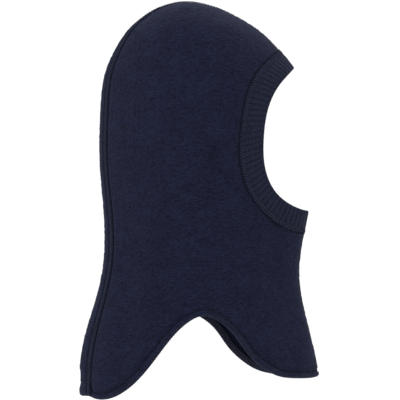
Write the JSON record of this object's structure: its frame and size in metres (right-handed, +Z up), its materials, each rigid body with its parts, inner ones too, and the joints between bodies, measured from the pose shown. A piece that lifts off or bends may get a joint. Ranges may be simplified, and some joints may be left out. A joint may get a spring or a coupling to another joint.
{
  "type": "balaclava",
  "caption": "Soft knitted balaclava with a ribbed face opening, flatlock seams, and a long bib and tail that cover the throat and the nape between high shoulder arches.",
  "frame": {"origin": "inner face of the crown, where the top of a head touches", "axes": "+X the way the face looks, +Y the wearer's left, +Z up; the garment's seams sit turned 9 degrees about +Z"},
  "size_m": [0.2178, 0.119, 0.3587],
  "materials": {
    "brushed_knit": "brushed navy jersey knit, matte with a soft fuzz",
    "rib_knit": "navy rib knit folded double, ribs across the band",
    "seam_thread": "matte textured polyester flatlock thread",
    "overlock_thread": "matte textured polyester overlock thread",
    "label_tape": "blank woven satin tape",
    "label_thread": "matte sewing thread"
  },
  "bodies": {
    "hood": {"right_panel": "brushed_knit", "left_panel": "brushed_knit", "face_rib_band": "rib_knit", "crown_seam_needle_thread_near": "seam_thread", "crown_seam_needle_thread_far": "seam_thread", "crown_seam_cover_thread": "seam_thread", "crown_seam_looper_thread": "seam_thread", "front_seam_needle_thread_near": "seam_thread", "front_seam_needle_thread_far": "seam_thread", "front_seam_cover_thread": "seam_thread", "front_seam_looper_thread": "seam_thread", "face_seam_needle_thread_panel": "seam_thread", "face_seam_needle_thread_band": "seam_thread", "face_seam_cover_thread": "seam_thread", "face_seam_looper_thread": "seam_thread", "right_hem_needle_thread": "overlock_thread", "left_hem_needle_thread": "overlock_thread", "right_hem_overlock_thread": "overlock_thread", "left_hem_overlock_thread": "overlock_thread", "band_join_thread": "seam_thread", "label_stitch_thread": "label_thread"},
    "care_label": {"care_label": "label_tape"}
  },
  "joints": [
    {"name": "label_flip", "type": "hinge", "parent": "hood", "child": "care_label", "pos_m": [-0.03598, -0.02825, -0.20985], "axis": [0.8663, -0.4995, 0], "range_deg": [0, 90]}
  ]
}
